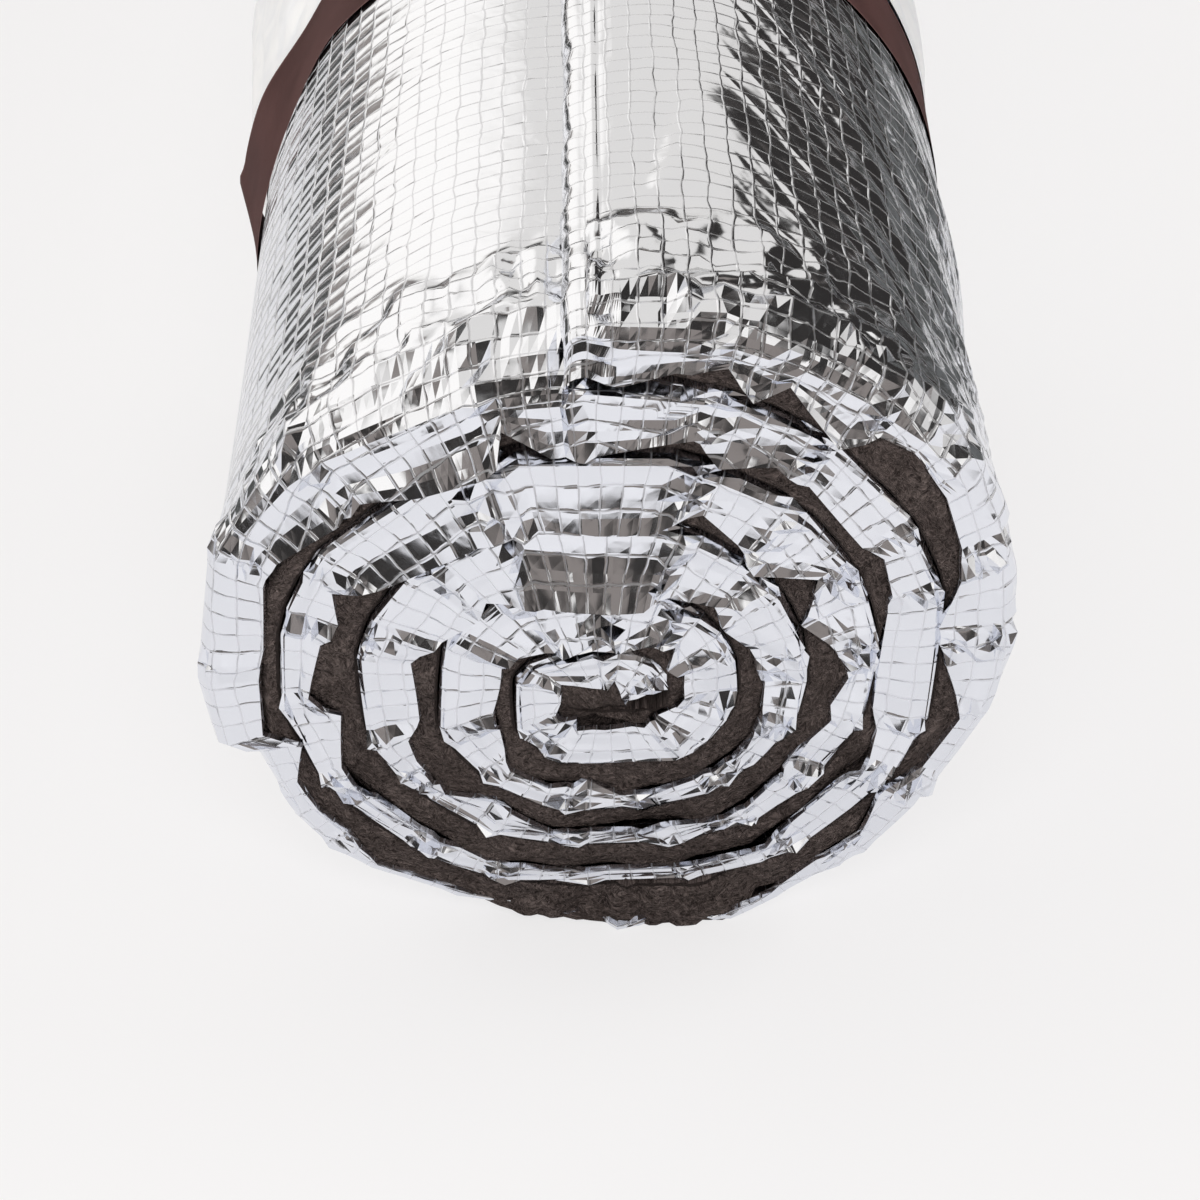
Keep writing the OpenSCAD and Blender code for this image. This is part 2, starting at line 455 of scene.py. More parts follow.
# %% A place for every point of the foil
HEM_DROP, HEM_OUT = 17, 8
LIP_IN, LIP_BACK = 0.7, 2.2
SLOUCH = 2.4
FOLD_CRUMPLE, SKIN_CRUMPLE, SKIN_FADE, REAR_CALM = 2.8, 2.8, 24, 0.3
CREASE_ALONG, CREASE_ACROSS, CRUSHED_OUT = 1.5, 1.2, 0.6
FULL_FOLD, FULL_SLOUCH, FULL_PUSH = 9, 16, 6
APRON_OUT, APRON_TURN, APRON_HALF, APRON_FADE = 10, 0.475, 0.045, 20
STRAIGHT, STRAIGHT_FADE = 0.9, 40


def placed(x, y, z, least, along, across):
    """Points on the roll, none of them below least, and their places on the flat sheet."""
    return np.stack([x + MIDDLE_X, y, np.maximum(z, least)], 1), np.stack([along, across], 1)


def foil_place(arc, step):
    rear = step > 2.5
    profile = np.where(rear, 5 - step, step)
    out, along, across, crushed = crease_shift(arc, rear, profile)
    near_rim = unit(3.6 - profile) * np.exp(-unit(profile - 2) * LENGTH / SKIN_FADE)
    arc = arc + CREASE_ALONG * near_rim * along * (arc > 0)
    on_roll = np.clip(arc, 0, SPIRAL)
    turn = turn_at(on_roll)
    outer = turn < OUTER_END

    # The profile: folded lip, flat fold, bend and the length of the roll
    room = blanket_room(turn)
    reach = np.minimum(np.interp(arc, knots, reaches), room + 4)
    bend = np.minimum(bend_radius(turn), np.minimum(0.45 * room, 0.8 * reach))
    slouch = bend * (1 + SLOUCH * looseness(turn) * outer)
    flat = np.maximum(reach - bend, 0.6)
    fold = unit(1 - profile)
    lip = unit(-profile)
    angle = unit(2 - profile) * np.pi / 2
    behind = unit(profile - 2) * (LENGTH - 2 * slouch)
    front, skin = np.sin(angle), np.cos(angle)
    crossed = np.clip(flat / FULL_FOLD, 0.1, 1) * np.where(profile < 1, 1, 0.4 * near_rim)
    shift_across = CREASE_ACROSS * across * crossed
    inset = bend * (1 - skin) + flat * fold + LIP_IN * lip + shift_across * front
    depth = slouch * (1 - front) + behind + LIP_BACK * lip ** 2 + shift_across * skin
    bend_length = np.pi / 2 * np.sqrt((bend ** 2 + slouch ** 2) / 2)
    sheet_across = behind - bend_length * angle / (np.pi / 2) - flat * fold - LIP_BACK * lip

    # Relief out of the sheet: creases, waves and the crushed top
    on_fold = FOLD_CRUMPLE * front * np.clip(flat / FULL_FOLD, 0.15, 1)
    on_skin = SKIN_CRUMPLE * skin * near_rim * np.clip(slouch / FULL_SLOUCH, 0.3, 1)
    out = (on_fold + on_skin * np.where(rear, REAR_CALM, 1)) * out + CRUSHED_OUT * on_fold * crushed
    out += skin * np.where(outer, surface_waves(on_roll, np.where(rear, LENGTH - depth, depth)), 0)
    loose_top = looseness(turn) * top_crush(on_roll, sheet_across)
    out += np.where(outer & ~rear & (arc > 0), loose_top, 0) * skin

    # Pushes of the folds forward of the end
    edge, rim = at_end(arc, rear, *edge_push), at_end(arc, rear, *rim_push)
    push = front * (rim + fold ** 1.8 * (edge - rim)) * np.clip(flat / FULL_PUSH, 0.2, 1)
    apron = unit(1.3 - np.abs(turn - APRON_TURN) / APRON_HALF) * outer * ~rear
    apron = apron * (0.75 + 0.45 * soft_noise(arc / 7, 0 * arc, 36))
    push += APRON_OUT * apron * np.exp(-behind / APRON_FADE)

    # The place on the roll, with straight edges between the knots and the hem turned down
    x, z = section(turn, inset - out * skin)
    y_depth = depth - out * front - push
    shift_x, shift_z = chord_shift(on_roll, rear)
    straight = STRAIGHT * np.where(profile < 2, 1, np.exp(-behind / STRAIGHT_FADE))
    hem = unit(-arc / (HEM_DROP + HEM_OUT))
    ragged = 1 + 0.12 * soft_noise(sheet_across / 16, 0 * arc, 40)
    ragged = ragged + 0.1 * soft_noise(sheet_across / 5, 0 * arc, 41)
    x = x + straight * shift_x - HEM_OUT * ragged * np.sin(unit(1.5 * hem) * np.pi / 2)
    z = z + straight * shift_z - HEM_DROP * hem ** 2
    y = np.where(rear, REAR - y_depth, FRONT + y_depth)
    return placed(x, y, z, WRAP_T, arc, np.where(rear, LENGTH - sheet_across, sheet_across))


# %% [markdown]
# The outer turn and the inner turns become two meshes, because only the outer one needs fine rows along the
# roll. The columns are the creases themselves, with more of them across the wide panels and along the hem's
# strip. Faces near the rim are shaded flat, as facets. On the loose top the crushed band behind the bend is
# shaded smoothly, because there the real foil has soft pockets.

# %% The outer turn and the inner turns
PANEL_COLUMN, DEEP_COLUMN, BEAD_COLUMN, HEM_COLUMN = 3.2, 9.0, 0.8, 2.5
FINE_TO, FINE_ROW, COARSE_ROW, SOFT_FROM = 420, 4, 60, 0.3
SPLIT = arc_at(1.03)


def columns_between(start, end, width):
    """The creases between two arc lengths, with more columns where they lie further apart than width."""
    inside = crease_arcs[(crease_arcs > start) & (crease_arcs < end)]
    stops = np.unique(np.r_[start, inside, end])
    made = []
    for a, b in zip(stops, stops[1:]):
        pieces = 1 if b - a < 2 * CREASE_STEP else round((b - a) / width)
        made.append(np.linspace(a, b, max(1, pieces), endpoint=False))
    return np.append(np.concatenate(made), end)


def even(start, end, step):
    return np.linspace(start, end, round((end - start) / step), endpoint=False)


def foil_sharp(arc, step):
    turn = turn_at(max(arc, 0))
    soft_top = turn < OUTER_END and looseness(turn) > SOFT_FROM
    sharp_until = 2 if soft_top else 2 + SKIN_ROWS[3] / LENGTH
    return step < sharp_until or step > 3 - SKIN_ROWS[2] / LENGTH


near_rows = np.array([3, 5, 8, 11, 14.5, 18, 22, 26, 31])
fine_rows = even(SKIN_ROWS[-1], FINE_TO, FINE_ROW)
coarse_rows = even(FINE_TO, LENGTH - COARSE_ROW, COARSE_ROW)
shown_rows = np.r_[near_rows, fine_rows, coarse_rows] / LENGTH + 2
rim_rows = np.r_[RIM_ROWS, 2 + SKIN_ROWS[:-1] / LENGTH]
deep_rows = np.array([SKIN_ROWS[-1], LENGTH / 2, LENGTH - COARSE_ROW]) / LENGTH + 2
rear_bend = np.linspace(3, 4, 6, endpoint=False)
rear_rows = np.r_[3 - SKIN_ROWS[2::-2] / LENGTH, rear_bend, 5 - RIM_ROWS[4::-1]]

strip_columns = even(0, HEM_STRIP[-1][0], BEAD_COLUMN)
hem_columns = np.r_[even(-HEM_DROP - HEM_OUT, 0, HEM_COLUMN), strip_columns]
outer_columns = np.unique(np.r_[hem_columns, columns_between(0, SPLIT, PANEL_COLUMN)])
inner_columns = columns_between(SPLIT, SPIRAL, DEEP_COLUMN)
outer_rows = np.r_[RIM_ROWS, shown_rows, rear_rows]
inner_rows = np.r_[rim_rows, deep_rows, rear_rows]
foil_outer = grid_sheet("foil_outer", outer_columns, outer_rows, foil_place, foil_sharp)
foil_inner = grid_sheet("foil_inner", inner_columns, inner_rows, foil_place, foil_sharp)

# %% [markdown]
# ## The wool
#
# Between the foil of one turn and that of the next lies the wool. Its cut end is what shows, dull and
# matted, just behind the folded foil. It is a closed spiral bar: the rows of its grid run once round it,
# over the front end, along the inside, over the rear end and back along the outside. In the core the
# innermost turn's wool closes on itself, so its inner face needs a rule of its own.

# %% The inner face of the wool
WOOL_GAP = 0.8
CORE_FROM, CORE_SPAN = 4.15, 0.2
CORE_MIDDLE, CORE_WIDE, CORE_HIGH = (4.0, CORE_Z - 5.0), 0.85, 0.05


def wool_inside(turn, rear):
    """The inner face of the wool: the foil of the next turn within, or the middle of the core."""
    x, z = section(turn + 1, -WOOL_GAP)
    shift_x, shift_z = chord_shift(arc_at(turn + 1), rear)
    closing = unit((turn - CORE_FROM) / CORE_SPAN)
    x = x + 0.8 * shift_x * (1 - closing)
    z = z + 0.8 * shift_z * (1 - closing)
    core_x = CORE_MIDDLE[0] + (x - CORE_MIDDLE[0]) * CORE_WIDE
    core_z = CORE_MIDDLE[1] + (z - CORE_MIDDLE[1]) * CORE_HIGH
    return x + closing * (core_x - x), z + closing * (core_z - z)


print("the wool closes the core from turn", CORE_FROM, "on")

# %% [markdown]
# The end face is lumpy, and under the folded foil the wool is pressed back. Underneath, a ragged ledge of
# wool stands forward of the foil. The two faces of the bar follow the same straight edges as the foil.

# %% A place for every point of the wool
WOOL_COLUMN, WOOL_ROWS, WOOL_REAR_ROWS = 2.6, 22, 7
WOOL_BACK, WOOL_ROUND, WOOL_UNDER = 1.4, 2.2, 5.0
WOOL_PRESSED, PRESS_RUN = 6.5, 4.0
LUMPS = ((24, 2, 1.1, 70), (9, 4, 0.7, 71), (3.6, 9, 0.5, 72))
LEDGE = ((0.428, 0), (0.445, 9), (0.49, 8.5), (0.52, 4.5), (0.56, 0))
LEDGE_RAGGED, LEDGE_UP = 3.5, 1.6


def wool_place(arc, step):
    turn = turn_at(arc)
    rear = (step > 1.5) & (step < 3.5)
    through = np.where(step <= 1, step, np.where(step < 2, 1, unit(3 - step)))
    ledge = np.interp(turn, *zip(*LEDGE)) * (1 - 0.6 * through)
    on_ledge = unit(0.3 * ledge)
    outer_x, outer_z = section(turn, FOIL_T + WOOL_UNDER * (1 - on_ledge))
    inner_x, inner_z = wool_inside(turn, rear)
    shift_x, shift_z = chord_shift(arc, rear)
    end_face = (step <= 1) | ((step >= 2) & (step <= 3)) | (step == 4)
    lumps = sum(high * soft_noise(arc / long, through * wide, seed) for long, wide, high, seed in LUMPS)
    thick = np.hypot(outer_x - inner_x, outer_z - inner_z)
    past_fold = through * thick + WOOL_UNDER - np.interp(arc, knots, reaches)
    pressed = unit(-(past_fold + 1.0) / PRESS_RUN)
    pressed = WOOL_PRESSED * pressed * pressed * (3 - 2 * pressed)
    rounded = WOOL_ROUND * through ** 8
    ragged = soft_noise(arc / 5, step % 4 * 3, 73) * on_ledge
    depth = WOOL_BACK + pressed + rounded + np.where(end_face, lumps, 0)
    depth -= (ledge + LEDGE_RAGGED * ragged) * ~rear
    x = outer_x + (inner_x - outer_x) * through + 0.6 * shift_x * (1 - through)
    z = outer_z + (inner_z - outer_z) * through + 0.6 * shift_z * (1 - through) + LEDGE_UP * ragged
    y = np.where(rear, REAR - depth, FRONT + depth)
    return placed(x, y, z, WRAP_T, arc, through * SIDE_T + np.floor(step) * 100)


front_face = np.linspace(0, 1, WOOL_ROWS)
rear_face = np.linspace(2, 3, WOOL_REAR_ROWS)
wool_rows = np.r_[front_face, 2, rear_face[1:], 4]
wool_columns = np.append(even(0, SPIRAL, WOOL_COLUMN), SPIRAL)
wool_blanket = grid_sheet("wool", wool_columns, wool_rows, wool_place)

# %% [markdown]
# The first and the last row of the bar lie on each other, and its two ends are still open. Merging the
# doubles and filling the ends makes it one closed body, which a padded piece has to be.

# %% Close the wool
MERGE = 0.01 * MM


def close(piece, fill=False):
    """Merges points that lie on each other, and fills the open ends if fill is set."""
    bm = bmesh.new()
    bm.from_mesh(piece.data)
    bmesh.ops.remove_doubles(bm, verts=bm.verts, dist=MERGE)
    if fill:
        bmesh.ops.holes_fill(bm, edges=[e for e in bm.edges if e.is_boundary], sides=0)
    bmesh.ops.recalc_face_normals(bm, faces=bm.faces)
    bm.to_mesh(piece.data)
    print(piece.name, "has", sum(e.is_boundary for e in bm.edges), "open edges")
    bm.free()


close(wool_blanket, fill=True)

# %% [markdown]
# ## The strap
#
# A flat brown strap goes round the roll. It is snug over the top and the right, but on the left it has
# slipped forwards and stands off in a loose fold with a crease. Its route round the roll is a short list of
# points, each with how far its front edge lies behind the roll's end. The strap bridges the step at
# the tail's edge, as the solid does. It is a ring, so its waves meet themselves and its two ends are merged.

# %% Wrapping round the roll
BRIDGE_SPAN, JOIN_FROM = 0.11, 0.85
TRIP_STEPS, TRIP_SOFT = 1501, 17


def wrap_section(turn, out):
    tail = winding(np.zeros(1))[0]
    v = np.maximum(winding(turn), tail - (1 - turn) / BRIDGE_SPAN)
    return oval(np.minimum(turn, 1 - 1e-9), v, -out)


def round_trip(turn, route):
    """A value set at a few turns of the circle, carried round smoothly."""
    turns, values = np.array(route).T
    turns = np.r_[turns - 1, turns, turns + 1]
    three_trips = np.linspace(-1, 2, TRIP_STEPS)
    wide = np.interp(three_trips, turns, np.tile(values, 3))
    soft = np.convolve(wide, np.hanning(TRIP_SOFT) / np.hanning(TRIP_SOFT).sum(), "same")
    return np.interp(turn, three_trips, soft)


def round_noise(turn, noise_at):
    """A noise along the turn that meets itself at the end of the turn."""
    join = unit((turn - JOIN_FROM) / (1 - JOIN_FROM))
    return noise_at(turn) * (1 - join) + noise_at(turn - 1) * join


# %% Strap
STRAP_W = 60
STRAP_ROUTE = ((0, 345), (0.15, 318), (0.3, 305), (0.5, 285), (0.66, 268), (0.76, 277),
               (0.79, 290), (0.82, 314), (0.85, 345), (0.9, 352))
STRAP_STAND_OFF = ((0, 0), (0.737, 0), (0.748, 4), (0.761, 11.5), (0.80, 10.5), (0.83, 1.5), (0.86, 0))
STRAP_OUT, STRAP_WAVE = 0.35, 0.25
CREASE_TURN, CREASE_HALF, CREASE_OUT = 0.761, 0.007, 3.2


def strap_place(turn, step):
    stand_off = round_trip(turn, STRAP_STAND_OFF)
    crease = unit(1 - np.abs(turn - CREASE_TURN) / CREASE_HALF)
    out = WRAP_T + STRAP_OUT + stand_off * (0.05 + 0.95 * step) + CREASE_OUT * crease * step
    out += STRAP_WAVE * round_noise(turn, lambda t: soft_noise(t * 30, step * 2, 81))
    x, z = wrap_section(turn, out)
    y = FRONT + round_trip(turn, STRAP_ROUTE) + STRAP_W * step
    return placed(x, y, z, 0.2, turn * arc_at(1.0), step * STRAP_W)


strap = grid_sheet("strap_band", np.linspace(0, 1, 301), np.linspace(0, 1, 13), strap_place)
close(strap)

# %% [markdown]
# ## The film sleeve
#
# The rear of the roll is in a thin white film bag. It hugs the roll on the right and hangs loose on the
# left, with long soft folds along the roll and a front edge that lies close behind the strap. The folds fade
# out towards that edge, so no dark slit shows under it.

# %% Film sleeve
FILM_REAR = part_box("film_sleeve")[1][1] / MM
FILM_BEHIND, FILM_OUT, FILM_SLACK, FILM_MID, FILM_HALF, SLACK_RUN = 63, 3.2, 14, 0.76, 0.19, 130
FILM_EDGE_OUT, FILM_EDGE_RUN, FILM_LEAST_OUT = 1.5, 45, 1.8
LONG_FOLD, SHORT_FOLD, CRINKLE = 2.0, 1.4, 0.35


def film_place(turn, step):
    start = FRONT + round_trip(turn, STRAP_ROUTE) + FILM_BEHIND
    length = FILM_REAR - start
    slack = unit(1 - np.abs(turn - FILM_MID) / FILM_HALF)
    loose = slack * slack * (3 - 2 * slack) * unit(0.1 + step * length / SLACK_RUN)
    long_folds = 0.5 - np.abs(round_noise(turn, lambda t: soft_noise(t * 26 + 5 * step, step * 4, 91)))
    short_folds = 0.5 - np.abs(round_noise(turn, lambda t: soft_noise(t * 60 - 12 * step, step * 16, 92)))
    crinkles = round_noise(turn, lambda t: soft_noise(t * 90, step * 60, 93))
    out = WRAP_T + FILM_OUT + FILM_SLACK * loose * (0.85 + 0.15 * np.cos(step * 9))
    out += (1 + loose) * (LONG_FOLD * long_folds + SHORT_FOLD * short_folds) + CRINKLE * crinkles
    from_edge = unit(step * length / FILM_EDGE_RUN)
    out = FILM_EDGE_OUT + from_edge * (np.maximum(out, FILM_LEAST_OUT) - FILM_EDGE_OUT)
    x, z = wrap_section(turn, out)
    y = start + step * length
    return placed(x, y, z, 0.05, turn * arc_at(1.0), step * length)


film = grid_sheet("film_bag", np.linspace(0, 1, 281), np.linspace(0, 1, 181), film_place)
close(film)

# %% [markdown]
# ## Shader maths in plain Python
#
# A pattern in a material is a long sum of small steps. The class below wraps one socket of a node tree, so
# that the steps can be written as a formula, and each operator adds its Math node.

# %% A socket that does sums
def operator(kind):
    """An operator that adds a Math node, and its reflected form for a number on the left."""
    def plain(self, other):
        return self.maths(kind, self, other)

    def reflected(self, other):
        return self.maths(kind, other, self)

    return plain, reflected


class Wire:
    """A socket of a node tree, whose operators and functions add Math nodes."""

    def __init__(self, tree, socket=None):
        self.tree, self.socket = tree, socket

    def node(self, kind, settings=None, inputs=None, output=0):
        made = self.tree.nodes.new(kind)
        for key, value in (settings or {}).items():
            setattr(made, key, value)
        for key, value in (inputs or {}).items():
            if isinstance(value, Wire):
                self.tree.links.new(value.socket, made.inputs[key])
            else:
                made.inputs[key].default_value = value
        return Wire(self.tree, made.outputs[output] if len(made.outputs) else None)

    def maths(self, operation, *values):
        return self.node("ShaderNodeMath", {"operation": operation}, dict(enumerate(values)))

    __add__, __radd__ = operator("ADD")
    __sub__, __rsub__ = operator("SUBTRACT")
    __mul__, __rmul__ = operator("MULTIPLY")
    __truediv__, __rtruediv__ = operator("DIVIDE")
    __pow__, __rpow__ = operator("POWER")

    def __abs__(self):
        return self.maths("ABSOLUTE", self)

    def fract(self):
        return self.maths("FRACT", self)

    def floor(self):
        return self.maths("FLOOR", self)

    def clip(self):
        return self.node("ShaderNodeClamp", {}, {"Value": self})

    def ramp(self, low, high):
        """0 at low and 1 at high, with a soft start and end."""
        values = {"Value": self, "From Min": low, "From Max": high}
        return self.node("ShaderNodeMapRange", {"interpolation_type": "SMOOTHSTEP"}, values)

    def blend(self, first, second):
        """first where this is 0, second where it is 1; both are colours."""
        return self.node("ShaderNodeMix", {"data_type": "RGBA"}, {0: self, 6: first, 7: second}, 2)

    def part(self, index):
        return self.node("ShaderNodeSeparateXYZ", {}, {0: self}, index)


# %% [markdown]
# A few helpers keep the materials short. All patterns of a piece follow the place on its flat sheet.

# %% Helpers for materials
def new_material(name):
    material = bpy.data.materials.new(name)
    material.use_nodes = True
    material.node_tree.nodes.clear()
    return material, Wire(material.node_tree)


def vector(wire, x, y, z=0.0):
    return wire.node("ShaderNodeCombineXYZ", {}, {0: x, 1: y, 2: z})


def noise(wire, where, scale, detail=2.0, distortion=0.0, output=0):
    values = {"Vector": where, "Scale": scale, "Detail": detail, "Distortion": distortion}
    return wire.node("ShaderNodeTexNoise", {}, values, output)


def crests(wire, where, scale, detail):
    """1 along thin winding lines, falling to 0 between them."""
    return 1 - 2 * abs(noise(wire, where, scale, detail) - 0.5)


def on_sheet(wire):
    return wire.node("ShaderNodeUVMap", {"uv_map": "sheet"})


def bump_of(wire, height, distance=MM, strength=1.0):
    return wire.node("ShaderNodeBump", {}, {"Strength": strength, "Distance": distance, "Height": height})


def principled(wire, values):
    return wire.node("ShaderNodeBsdfPrincipled", {}, values)


def surface(material, wire, shader):
    wire.node("ShaderNodeOutputMaterial", {}, {"Surface": shader})
    print(material.name, "material has", len(wire.tree.nodes), "nodes")


# %% [markdown]
# ## The foil's finish
#
# The foil is bright aluminium on a square mesh of threads, 9 mm apart. The threads stand up as thin lines,
# the foil sags a little between them, and each small square is tilted its own way, which is why the real
# foil glitters like a mosaic. All of that is in the bump, and the metal itself stays simple.

# %% The mesh of threads
THREAD_PITCH, THREAD_WANDER = 9 * MM, 0.5
THREAD_EDGE, SQUARE_EDGE = 0.43, 0.4
foil_material, w = new_material("foil")
flat_place = on_sheet(w)
wander = noise(w, flat_place, 45, 2, output=1)
u = flat_place.part(0) / THREAD_PITCH + (wander.part(0) - 0.5) * THREAD_WANDER
v = flat_place.part(1) / THREAD_PITCH + (wander.part(1) - 0.5) * THREAD_WANDER
from_middle_u = abs(u.fract() - 0.5)
from_middle_v = abs(v.fract() - 0.5)
line_along = from_middle_u.ramp(THREAD_EDGE, 0.5)
line_round = from_middle_v.ramp(THREAD_EDGE, 0.5)
thread = (line_along + line_round).clip()
square_place = vector(w, u.floor(), v.floor())
square = w.node("ShaderNodeTexWhiteNoise", {"noise_dimensions": "2D"}, {"Vector": square_place}, 1)
tilt = (square.part(0) - 0.5) * (u.fract() - 0.5) + (square.part(1) - 0.5) * (v.fract() - 0.5)
tilt = tilt * from_middle_u.ramp(0.5, SQUARE_EDGE) * from_middle_v.ramp(0.5, SQUARE_EDGE)
print("one square in", THREAD_PITCH / MM, "mm")

# %% [markdown]
# The outer turn isn't alike all round. Over the top the foil is stretched calm and bright. On the left it is
# quilted, with deep sags between the rings of thread, and on the right it is pulled. Each stretch is a mask
# along the sheet, with soft ends.

# %% Calm and busy stretches
QUILT_FROM, QUILT_TO = arc_at(0.70) * MM, arc_at(0.895) * MM
PULL_FROM, PULL_TO = arc_at(0.065) * MM, arc_at(0.30) * MM
TOP_AFTER, TOP_BEFORE = arc_at(0.05) * MM, arc_at(0.90) * MM
arc_place = flat_place.part(0)
quilted = arc_place.ramp(QUILT_FROM, QUILT_FROM + 0.05) * arc_place.ramp(QUILT_TO + 0.025, QUILT_TO - 0.04)
over_top = arc_place.ramp(TOP_AFTER + 0.05, TOP_AFTER) + arc_place.ramp(TOP_BEFORE - 0.04, TOP_BEFORE + 0.03)
calm = over_top.clip() * flat_place.part(1).ramp(0.02, 0.06)
pulled = arc_place.ramp(PULL_FROM - 0.02, PULL_FROM + 0.03) * arc_place.ramp(PULL_TO + 0.04, PULL_TO - 0.04)
pulled = pulled * flat_place.part(1).ramp(0.02, 0.05)
by_seam = arc_place.ramp(0.0, 0.006) * arc_place.ramp(PULL_FROM + 0.02, PULL_FROM - 0.02)
busy = (quilted + pulled + by_seam).clip()
print("quilted for", round(QUILT_TO - QUILT_FROM, 3), "m, pulled for", round(PULL_TO - PULL_FROM, 3), "m")

# %% [markdown]
# Lines, sags, tilts, creases and pulls add up to one height in millimetres, which goes into the bump. The
# threads are duller than the foil between them, so they show pale on dark squares and grey on bright ones.

# %% Foil material
FOIL_BRIGHT, FOIL_THREAD = (0.80, 0.82, 0.88, 1), (0.77, 0.785, 0.84, 1)
lines_along = 0.045 - 0.022 * calm + 0.10 * busy
lines_round = 0.04 + 0.19 * quilted + 0.30 * pulled - 0.024 * calm
lines = lines_along * line_along + lines_round * line_round
sag = 0.3 * from_middle_u ** 2.0 + (0.3 + 0.6 * quilted) * from_middle_v ** 2.0
pull_across = flat_place.part(0) * PULL_ACROSS + flat_place.part(1) * PULL_ALONG
pull_along = flat_place.part(1) * PULL_ACROSS - flat_place.part(0) * PULL_ALONG
pull = pulled * crests(w, vector(w, pull_across * 42, pull_along * 6), 1, 2).ramp(0.74, 1.0) * 0.9
creases = noise(w, flat_place, 70, 2, 0.5)
height = lines + (1 - 0.7 * calm) * (sag + tilt) + 0.3 * creases + pull
foil_shader = principled(w, {
    "Base Color": thread.blend(FOIL_BRIGHT, FOIL_THREAD),
    "Roughness": 0.08 + 0.08 * wander.part(2) + 0.34 * thread,
    "Metallic": 1.0,
    "Normal": bump_of(w, height),
})
surface(foil_material, w, foil_shader)

# %% [markdown]
# ## The wool's finish
#
# The wool is dark brown and dull. Its fibres curl in every direction, so crests of noise at three sizes are
# bent by a coarser noise and used for both colour and bump. Worn patches make the brown uneven.

# %% Wool material
WOOL_DARK, WOOL_PALE, WOOL_WORN = (0.016, 0.011, 0.010, 1), (0.185, 0.148, 0.138, 1), (0.050, 0.037, 0.034, 1)
wool_material, w = new_material("wool")
flat_place = on_sheet(w)
bent = w.node("ShaderNodeVectorMath", {"operation": "MULTIPLY_ADD"}, {
    0: noise(w, flat_place, 90, 2, output=1), 1: (0.012, 0.012, 0.0), 2: flat_place})
strands = crests(w, bent, 420, 1).ramp(0.72, 1.0)
hairs = crests(w, bent, 900, 1).ramp(0.7, 1.0)
curls = crests(w, bent, 170, 1).ramp(0.6, 1.0)
felt = strands * 0.45 + hairs * 0.3 + curls * 0.35
patches = noise(w, flat_place, 40, 3)
brown = felt.blend(WOOL_DARK, WOOL_PALE)
worn = (0.35 * patches.ramp(0.3, 0.7)).blend(brown, WOOL_WORN)
bump = bump_of(w, felt + patches, 1.8 * MM)
wool_shader = principled(w, {
    "Base Color": worn, "Roughness": 0.95, "Specular IOR Level": 0.2, "Normal": bump})
surface(wool_material, w, wool_shader)

# %% [markdown]
# ## Strap and film finishes
#
# The strap is a closely woven brown band, almost without shine, with a paler line along both edges. The film
# is white and smooth, with fine crinkles that catch the light, and painted shade makes it cooler in their
# hollows.

# %% Strap material
YARN, EDGE_LINE, EDGE_SOFT = 0.9 * MM, 1.2 * MM, 1.6 * MM
STRAP_DARK, STRAP_PALE = (0.058, 0.024, 0.023, 1), (0.088, 0.039, 0.037, 1)
STRAP_EDGE = (0.13, 0.065, 0.062, 1)
strap_material, w = new_material("strap")
flat_place = on_sheet(w)
warp = abs((flat_place.part(1) / YARN).fract() - 0.5)
weft = abs((flat_place.part(0) / YARN).fract() - 0.5)
weave = warp + weft
stain = noise(w, flat_place, 25, 3)
bump = bump_of(w, weave, 0.3 * MM, 0.6)
from_edge = 0.5 * STRAP_W * MM - abs(flat_place.part(1) - 0.5 * STRAP_W * MM)
woven = stain.ramp(0.3, 0.7).blend(STRAP_DARK, STRAP_PALE)
strap_shader = principled(w, {
    "Base Color": from_edge.ramp(EDGE_SOFT, EDGE_LINE).blend(woven, STRAP_EDGE),
    "Roughness": 0.75 + 0.2 * weave, "Specular IOR Level": 0.3, "Normal": bump})
surface(strap_material, w, strap_shader)

# %% Film material
# The cooler colour is painted shade for the crinkles' hollows; the white one is the film's own colour, on the
# crests.
FILM_HOLLOW_SHADE, FILM_WHITE = (0.84, 0.855, 0.89, 1), (0.93, 0.935, 0.95, 1)
film_material, w = new_material("film")
flat_place = on_sheet(w)
crinkle = noise(w, flat_place, 55, 4, 0.8)
bump = bump_of(w, crinkle, 1.2 * MM, 0.8)
# The base colour follows the crinkles: painted shade in their hollows, white on their crests.
film_shader = principled(w, {
    "Base Color": crinkle.ramp(0.3, 0.7).blend(FILM_HOLLOW_SHADE, FILM_WHITE),
    "Roughness": 0.28 + 0.15 * crinkle, "Normal": bump})
surface(film_material, w, film_shader)

# %% [markdown]
# Every piece gets its material, rides on the roll's one body and takes the place of its solid.
# The two foil meshes stand for one solid.

# %% Dress the pieces
PIECES = (
    (foil_outer, foil_material, "foil", "foil_facing"),
    (foil_inner, foil_material, "foil", "foil_facing"),
    (wool_blanket, wool_material, "wool", "wool_blanket"),
    (strap, strap_material, "strap", "strap"),
    (film, film_material, "film", "film_sleeve"),
)
for piece, material, slot, node in PIECES:
    piece.data.materials.clear()
    piece.data.materials.append(material)
    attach(piece, "root")
    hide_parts(node)
print("dressed:", [row[0].name for row in PIECES])

# %% [markdown]
# ## Floor and light
#
# Bright foil shows its surroundings, so the studio matters as much as the metal. The floor is pale, and
# stays pale where the camera or a reflection sees it, but keeps the roll's soft shadow. So it mixes a lit
# surface with a glow, and the kind of ray decides the mixture.

